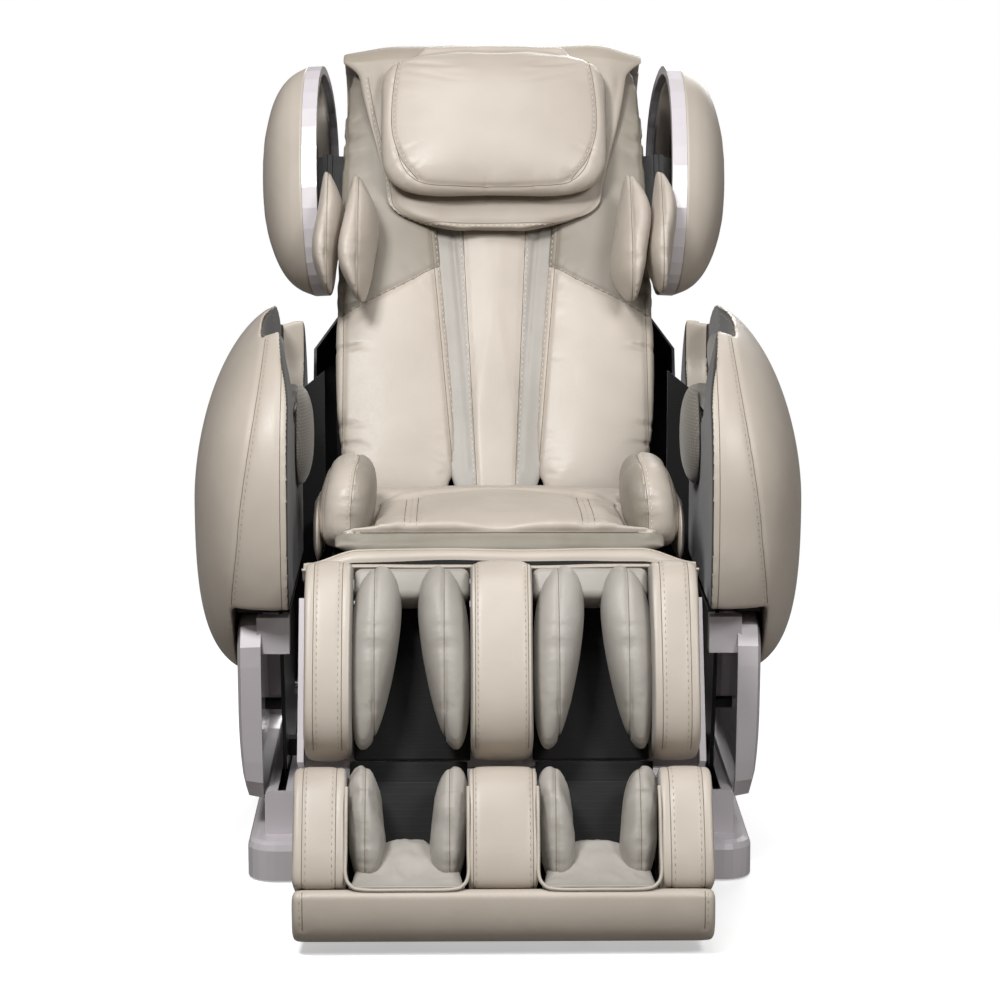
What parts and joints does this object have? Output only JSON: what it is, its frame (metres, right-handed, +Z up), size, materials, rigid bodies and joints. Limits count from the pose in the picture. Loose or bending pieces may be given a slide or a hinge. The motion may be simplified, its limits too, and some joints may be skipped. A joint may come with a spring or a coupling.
{
  "type": "massage chair",
  "caption": "Upholstered electric massage chair with reclining back, shoulder wings, padded arms, calf and foot unit with airbags, on a sliding plinth.",
  "frame": {"origin": "on the floor, under the middle of the plinth", "axes": "+Z up, the chair faces -Y, +X to the right of a viewer in front of it"},
  "size_m": [0.926, 1.3728, 1.2039],
  "materials": {
    "leather": "warm beige synthetic leather, fine pebble grain, satin sheen",
    "grey_leather": "softer grey-beige synthetic leather over airbags, wrinkled at the seams",
    "dark_fabric": "dark charcoal knit over airbags",
    "silver_plastic": "pearl silver painted ABS, soft gloss",
    "gloss_black": "high-gloss dark moulded panel",
    "black_plastic": "black moulded plastic, fine texture",
    "red_plastic": "red switch rocker",
    "nylon": "off-white nylon",
    "rubber": "black rubber",
    "black_steel": "black powder-coated steel",
    "bright_steel": "turned and zinc-plated steel",
    "aluminium": "extruded aluminium"
  },
  "bodies": {
    "base": {"base_plinth": "silver_plastic", "base_frame": "black_steel", "rubber_feet": "rubber", "slide_rails": "aluminium", "rail_covers": "silver_plastic", "power_inlet": "black_plastic"},
    "switch": {"power_switch": "red_plastic"},
    "wheel_left": {"transport_wheel_left": "rubber"},
    "wheel_right": {"transport_wheel_right": "rubber"},
    "carriage": {"carriage_frame": "black_steel", "rail_glides": "nylon", "tilt_shaft": "bright_steel", "air_pump": "black_plastic", "control_box": "black_plastic", "side_cover_left": "silver_plastic", "side_cover_right": "silver_plastic", "arm_shell_left": "leather", "arm_shell_right": "leather", "arm_pads_left": "dark_fabric", "arm_pads_right": "dark_fabric"},
    "seat": {"seat_frame": "black_steel", "hinge_shafts": "bright_steel", "seat_cushion": "leather", "seat_apron": "leather", "hip_bolster_left": "grey_leather", "hip_bolster_right": "grey_leather", "recline_actuator": "black_plastic", "leg_actuator": "black_plastic"},
    "recline_rod": {"recline_rod": "bright_steel"},
    "leg_rod": {"leg_rod": "bright_steel"},
    "back": {"back_frame": "black_steel", "back_shell": "black_plastic", "back_cushions": "grey_leather", "spine_cushion": "grey_leather", "head_cover": "leather", "wing_shell_left": "leather", "wing_shell_right": "leather", "wing_rim_left": "silver_plastic", "wing_rim_right": "silver_plastic", "wing_panel_left": "gloss_black", "wing_panel_right": "gloss_black", "shoulder_pads_left": "grey_leather", "shoulder_pads_right": "grey_leather"},
    "pillow": {"head_pillow": "leather"},
    "massager": {"massage_carriage": "black_plastic"},
    "knead_left": {"kneading_arm_left": "bright_steel"},
    "knead_right": {"kneading_arm_right": "bright_steel"},
    "roller_left_upper": {"roller_left_upper": "nylon"},
    "roller_left_lower": {"roller_left_lower": "nylon"},
    "roller_right_upper": {"roller_right_upper": "nylon"},
    "roller_right_lower": {"roller_right_lower": "nylon"},
    "leg": {"leg_frame": "silver_plastic", "calf_bolsters": "leather", "calf_pads": "grey_leather"},
    "foot": {"foot_frame": "silver_plastic", "foot_bolsters": "leather", "foot_base": "leather", "foot_pads": "grey_leather"},
    "sole_roller_left": {"sole_roller_left": "black_plastic"},
    "sole_roller_right": {"sole_roller_right": "black_plastic"}
  },
  "joints": [
    {"name": "seat_slide", "type": "slide", "parent": "base", "child": "carriage", "axis": [0, -1, 0], "range_m": [0, 0.12]},
    {"name": "zero_gravity_tilt", "type": "hinge", "parent": "carriage", "child": "seat", "pos_m": [0, 0.07, 0.2], "axis": [-1, 0, 0], "range_deg": [0, 15]},
    {"name": "recline", "type": "hinge", "parent": "seat", "child": "back", "pos_m": [0, 0.1, 0.42], "axis": [-1, 0, 0], "range_deg": [0, 45]},
    {"name": "leg_raise", "type": "hinge", "parent": "seat", "child": "leg", "pos_m": [0, -0.35, 0.434], "axis": [-1, 0, 0], "range_deg": [0, 65]},
    {"name": "foot_extend", "type": "slide", "parent": "leg", "child": "foot", "axis": [0, -0.454, -0.891], "range_m": [0, 0.12]},
    {"name": "recline_rod_slide", "type": "slide", "parent": "seat", "child": "recline_rod", "axis": [0, -1, 0], "range_m": [0, 0.074]},
    {"name": "leg_rod_slide", "type": "slide", "parent": "seat", "child": "leg_rod", "axis": [0, -1, 0], "range_m": [0, 0.0715]},
    {"name": "pillow_flip", "type": "hinge", "parent": "back", "child": "pillow", "pos_m": [0, 0.43921, 1.19873], "axis": [-1, 0, 0], "range_deg": [0, 165]},
    {"name": "massage_travel", "type": "slide", "parent": "back", "child": "massager", "axis": [0, 0.5, 0.866], "range_m": [0, 0.4]},
    {"name": "knead_left_rock", "type": "hinge", "parent": "massager", "child": "knead_left", "pos_m": [-0.074, 0.2708, 0.61584], "axis": [1, 0, 0], "range_deg": [-8, 8]},
    {"name": "knead_right_rock", "type": "hinge", "parent": "massager", "child": "knead_right", "pos_m": [0.074, 0.2708, 0.61584], "axis": [1, 0, 0], "range_deg": [-8, 8]},
    {"name": "roller_left_upper_spin", "type": "hinge", "parent": "knead_left", "child": "roller_left_upper", "pos_m": [-0.0975, 0.28329, 0.68946], "axis": [1, 0, 0], "continuous": true},
    {"name": "roller_left_lower_spin", "type": "hinge", "parent": "knead_left", "child": "roller_left_lower", "pos_m": [-0.0975, 0.21329, 0.56822], "axis": [1, 0, 0], "continuous": true},
    {"name": "roller_right_upper_spin", "type": "hinge", "parent": "knead_right", "child": "roller_right_upper", "pos_m": [0.0975, 0.28329, 0.68946], "axis": [1, 0, 0], "continuous": true},
    {"name": "roller_right_lower_spin", "type": "hinge", "parent": "knead_right", "child": "roller_right_lower", "pos_m": [0.0975, 0.21329, 0.56822], "axis": [1, 0, 0], "continuous": true},
    {"name": "sole_roller_left_spin", "type": "hinge", "parent": "foot", "child": "sole_roller_left", "pos_m": [-0.127, -0.66019, 0.0587], "axis": [1, 0, 0], "continuous": true},
    {"name": "wheel_left_spin", "type": "hinge", "parent": "base", "child": "wheel_left", "pos_m": [-0.25, 0.338, 0.027], "axis": [1, 0, 0], "continuous": true},
    {"name": "sole_roller_right_spin", "type": "hinge", "parent": "foot", "child": "sole_roller_right", "pos_m": [0.127, -0.66019, 0.0587], "axis": [1, 0, 0], "continuous": true},
    {"name": "wheel_right_spin", "type": "hinge", "parent": "base", "child": "wheel_right", "pos_m": [0.25, 0.338, 0.027], "axis": [1, 0, 0], "continuous": true},
    {"name": "power_rocker", "type": "hinge", "parent": "base", "child": "switch", "pos_m": [0.0295, 0.347, 0.0235], "axis": [0, 0, 1], "range_deg": [0, 20]}
  ],
  "couplings": [
    {"joint": "recline_rod_slide", "follows": "recline", "m_per_rad": 0.093552},
    {"joint": "leg_rod_slide", "follows": "leg_raise", "m_per_rad": 0.062517},
    {"joint": "foot_extend", "follows": "leg_raise", "m_per_rad": 0.10578},
    {"joint": "knead_right_rock", "follows": "knead_left_rock", "ratio": -1}
  ]
}
